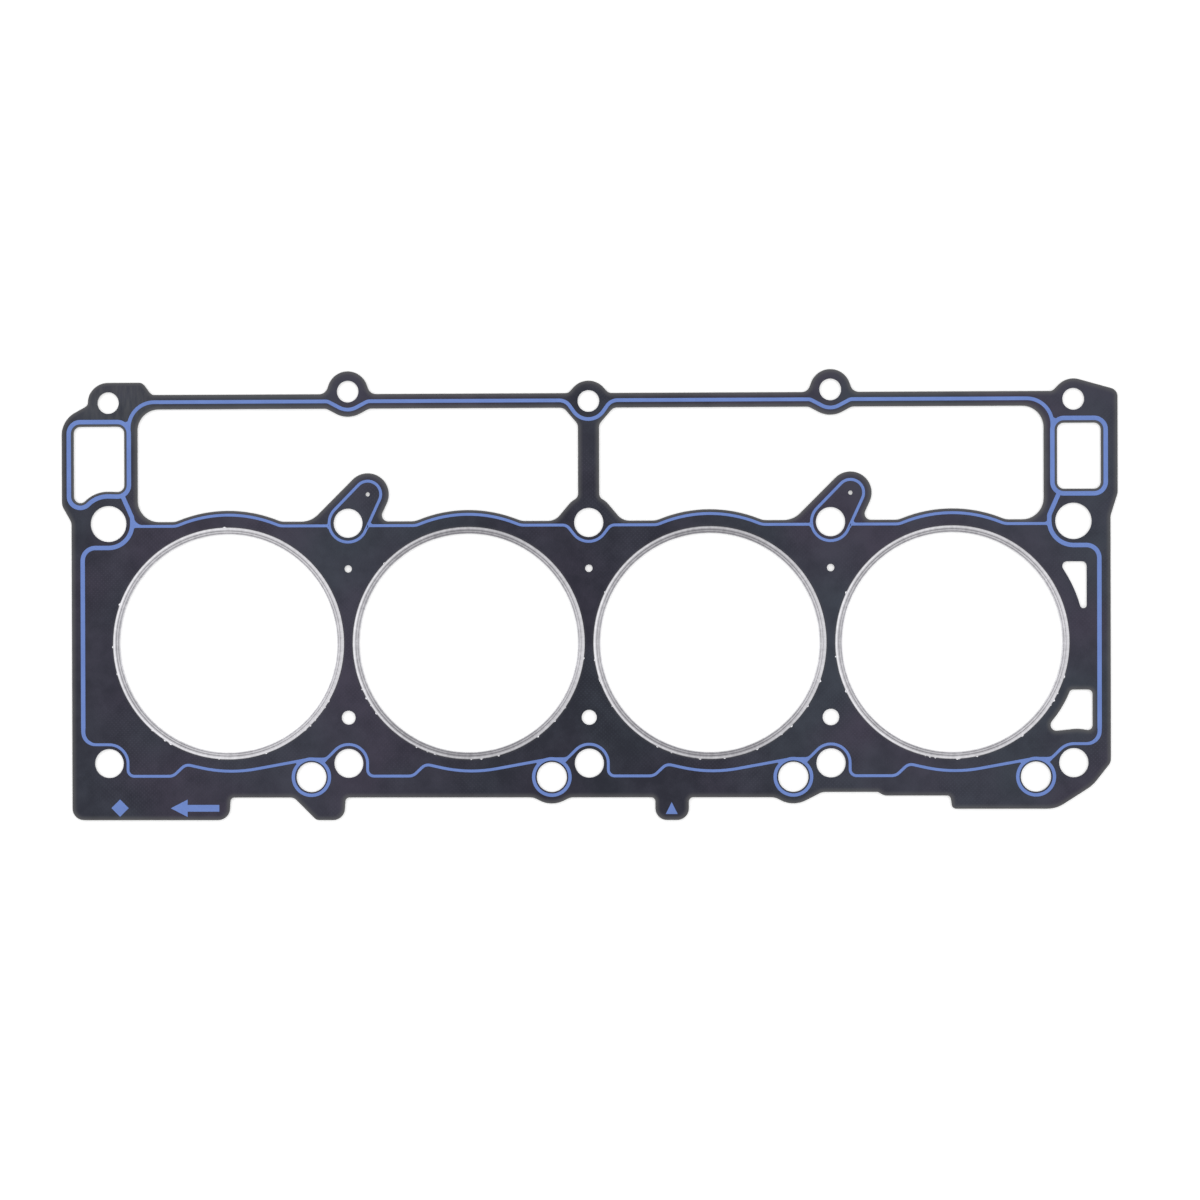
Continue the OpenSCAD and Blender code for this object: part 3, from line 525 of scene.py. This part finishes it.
def print_layer(name, outline, base, thickness, shoulder, side=1):
    """A printed layer over a flat outline. Each border point moves inwards along its mitre by
    shoulder times 1 - cos a, and rises by thickness times a power of sin a, while a goes from 0 to
    a quarter turn."""
    flat, edges, faces = outline
    a = QUARTER_TURN[:, None]
    spread = flat + mitres(flat, edges) * (shoulder * (1 - np.cos(a)))[:, :, None]
    height = base + thickness * np.sin(a) ** ROUNDNESS
    rows = np.dstack([spread, np.broadcast_to(side * height, spread.shape[:2])])

    count = len(flat)
    step = np.arange(len(a) - 1)[:, None] * count
    near, far = edges[:, 0] + step, edges[:, 1] + step
    quads = np.stack([near, far, far + count, near + count], axis=-1).reshape(-1, 4)
    walls = [row[::side] for row in quads.tolist()]
    upper = [[k + (len(a) - 1) * count for k in face][::side] for face in faces]
    under = [list(face)[::-side] for face in faces]
    return piece(name, rows.reshape(-1, 3), walls + upper + under)


silicone, place, fill = finish("blue_silicone", Specular_IOR_Level=0.35)
mesh_print = place.noise(1500, 2)
flow = place.noise(120, 3)
fill(
    Base_Color=(mesh_print * 0.4 + flow * 0.6).ramp(0.25, 0.75).tint(BLUE_DEEP, BLUE_PALE),
    Roughness=0.44 + flow * 0.16,
    Normal=(mesh_print * 0.7 + flow * 0.3).relief(0.012 * MM),
)
bead_outline = face_outline("top_seal_bead")
for face, side in FACES:
    bead = print_layer(f"{face}_silicone_bead", bead_outline, bead_low[2],
                       bead_high[2] - bead_low[2], BEAD_SHOULDER, side)
    bead.data.materials.append(silicone)
    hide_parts(f"{face}_seal_bead")

# The printed marks
#
# Plain shapes in the same blue ink, thinner than the bead, along the lower edge: an arrow to one
# end of the engine, a diamond beside it and a triangle on the tab. Their places and sizes are in
# millimetres.

INK = 0.03 * MM
INK_SHOULDER = 2 * INK
ARROW = dict(tip=-197.5, tail=-174.5, y=-77.6, head=8.0, head_h=8.2, shaft_h=3.2)
DIAMOND = dict(x=-221.5, y=-77.5, half=4.1)
TRIANGLE = dict(x=38.6, y=-77.6, w=5.6, h=5.6)


def shape(corners):
    """An outline of one closed run of corners, in millimetres, against the clock."""
    corners = np.array(corners, dtype=float) * MM
    order = np.arange(len(corners))
    return corners, np.stack([order, np.roll(order, -1)], axis=1), [order.tolist()]


def arrow(tip, tail, y, head, head_h, shaft_h):
    """A straight arrow that points to the left."""
    neck = tip + head
    return shape([
        (tip, y), (neck, y - head_h / 2), (neck, y - shaft_h / 2), (tail, y - shaft_h / 2),
        (tail, y + shaft_h / 2), (neck, y + shaft_h / 2), (neck, y + head_h / 2)])


def diamond(x, y, half):
    """A square on its corner."""
    return shape([(x - half, y), (x, y - half), (x + half, y), (x, y + half)])


def triangle(x, y, w, h):
    """A triangle that points up."""
    return shape([(x - w / 2, y - h / 2), (x + w / 2, y - h / 2), (x, y + h / 2)])


facing_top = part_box("top_facing")[1][2]
marks = (
    ("arrow_mark", arrow(**ARROW)),
    ("diamond_mark", diamond(**DIAMOND)),
    ("tab_mark", triangle(**TRIANGLE)),
)
for name, outline in marks:
    mark = print_layer(name, outline, facing_top, INK, INK_SHOULDER)
    mark.data.materials.append(silicone)

# The floor, the lamps and the camera
#
# A pale floor under the fire rings, a bright even studio and a camera straight above the sheet,
# turned as the photograph's is.

WHITE = (1, 1, 1, 1)
FLOOR_HALF = 8.0
FLOOR_PALE = (0.86, 0.86, 0.86, 1)
FLOOR_GLOW = 0.28
SKY_FROM, SKY_TO = -0.1, 0.9
SKY_LOW, SKY_RISE = 0.45, 0.5
CAMERA_AT = (46.5 * MM, 28.2 * MM, 1407.7 * MM)
CAMERA_DEGREES = (-0.335, 1.680, -0.156)
LENS = 90
SENSOR = 36
LAMPS = (  # name, place and width in metres, power in watts
    ("left_softbox", (-1.5, 0.5, 1.3), 1.2, 6),
    ("right_softbox", (1.5, 0.2, 1.4), 1.2, 4.5),
    ("back_softbox", (0.1, 1.7, 1.2), 1.0, 3),
)


def looking_rays(start):
    """1 for a ray from the camera, straight or by way of metal or glass, and 0 for the rest."""
    camera, glossy, transmitted = (start.add("ShaderNodeLightPath", out=f"Is {kind} Ray")
                                   for kind in ("Camera", "Glossy", "Transmission"))
    return (camera + glossy + transmitted).maths("MINIMUM", 1.0)


floor = bpy.data.objects.new("floor", bpy.data.meshes.new("floor"))
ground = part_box("fire_ring_1")[0][2]
ways = ((-1, -1), (1, -1), (1, 1), (-1, 1))
corners = [(x * FLOOR_HALF, y * FLOOR_HALF, ground) for x, y in ways]
floor.data.from_pydata(corners, [], [(0, 1, 2, 3)])
bpy.context.scene.collection.objects.link(floor)

paper = bpy.data.materials.new("pale_floor")
paper.use_nodes = True
shader = paper.node_tree.nodes["Principled BSDF"]
shader.inputs["Base Color"].default_value = FLOOR_PALE
shader.inputs["Roughness"].default_value = 0.9
shader.inputs["Specular IOR Level"].default_value = 0.0
shader.inputs["Emission Color"].default_value = WHITE
seen = looking_rays(Wired(paper.node_tree, shader.outputs[0]))
paper.node_tree.links.new((seen * FLOOR_GLOW).socket, shader.inputs["Emission Strength"])
floor.data.materials.append(paper)

world = bpy.data.worlds.new("studio")
bpy.context.scene.world = world
world.use_nodes = True
sky = world.node_tree.nodes["Background"]
sky.inputs["Color"].default_value = WHITE
way = Wired(world.node_tree, sky.outputs[0]).add("ShaderNodeTexCoord", out="Generated")
height = way.axis("Z").ramp(SKY_FROM, SKY_TO)
seen = looking_rays(way)
lit = height * SKY_RISE + SKY_LOW
strength = lit + seen * (1 - lit)
world.node_tree.links.new(strength.socket, sky.inputs["Strength"])

for name, at, width, power in LAMPS:
    lamp = bpy.data.lights.new(name, "AREA")
    lamp.shape, lamp.size, lamp.size_y, lamp.energy = "RECTANGLE", width, width, power
    holder = bpy.data.objects.new(name, lamp)
    holder.location = at
    holder.rotation_euler = Vector(at).to_track_quat("Z", "Y").to_euler()
    bpy.context.scene.collection.objects.link(holder)

lens = bpy.data.cameras.new("camera")
lens.lens, lens.sensor_width = LENS, SENSOR
camera = bpy.data.objects.new("camera", lens)
camera.location = CAMERA_AT
camera.rotation_euler = [math.radians(turn) for turn in CAMERA_DEGREES]
bpy.context.scene.collection.objects.link(camera)
bpy.context.scene.camera = camera
bpy.context.scene.view_settings.view_transform = "Standard"
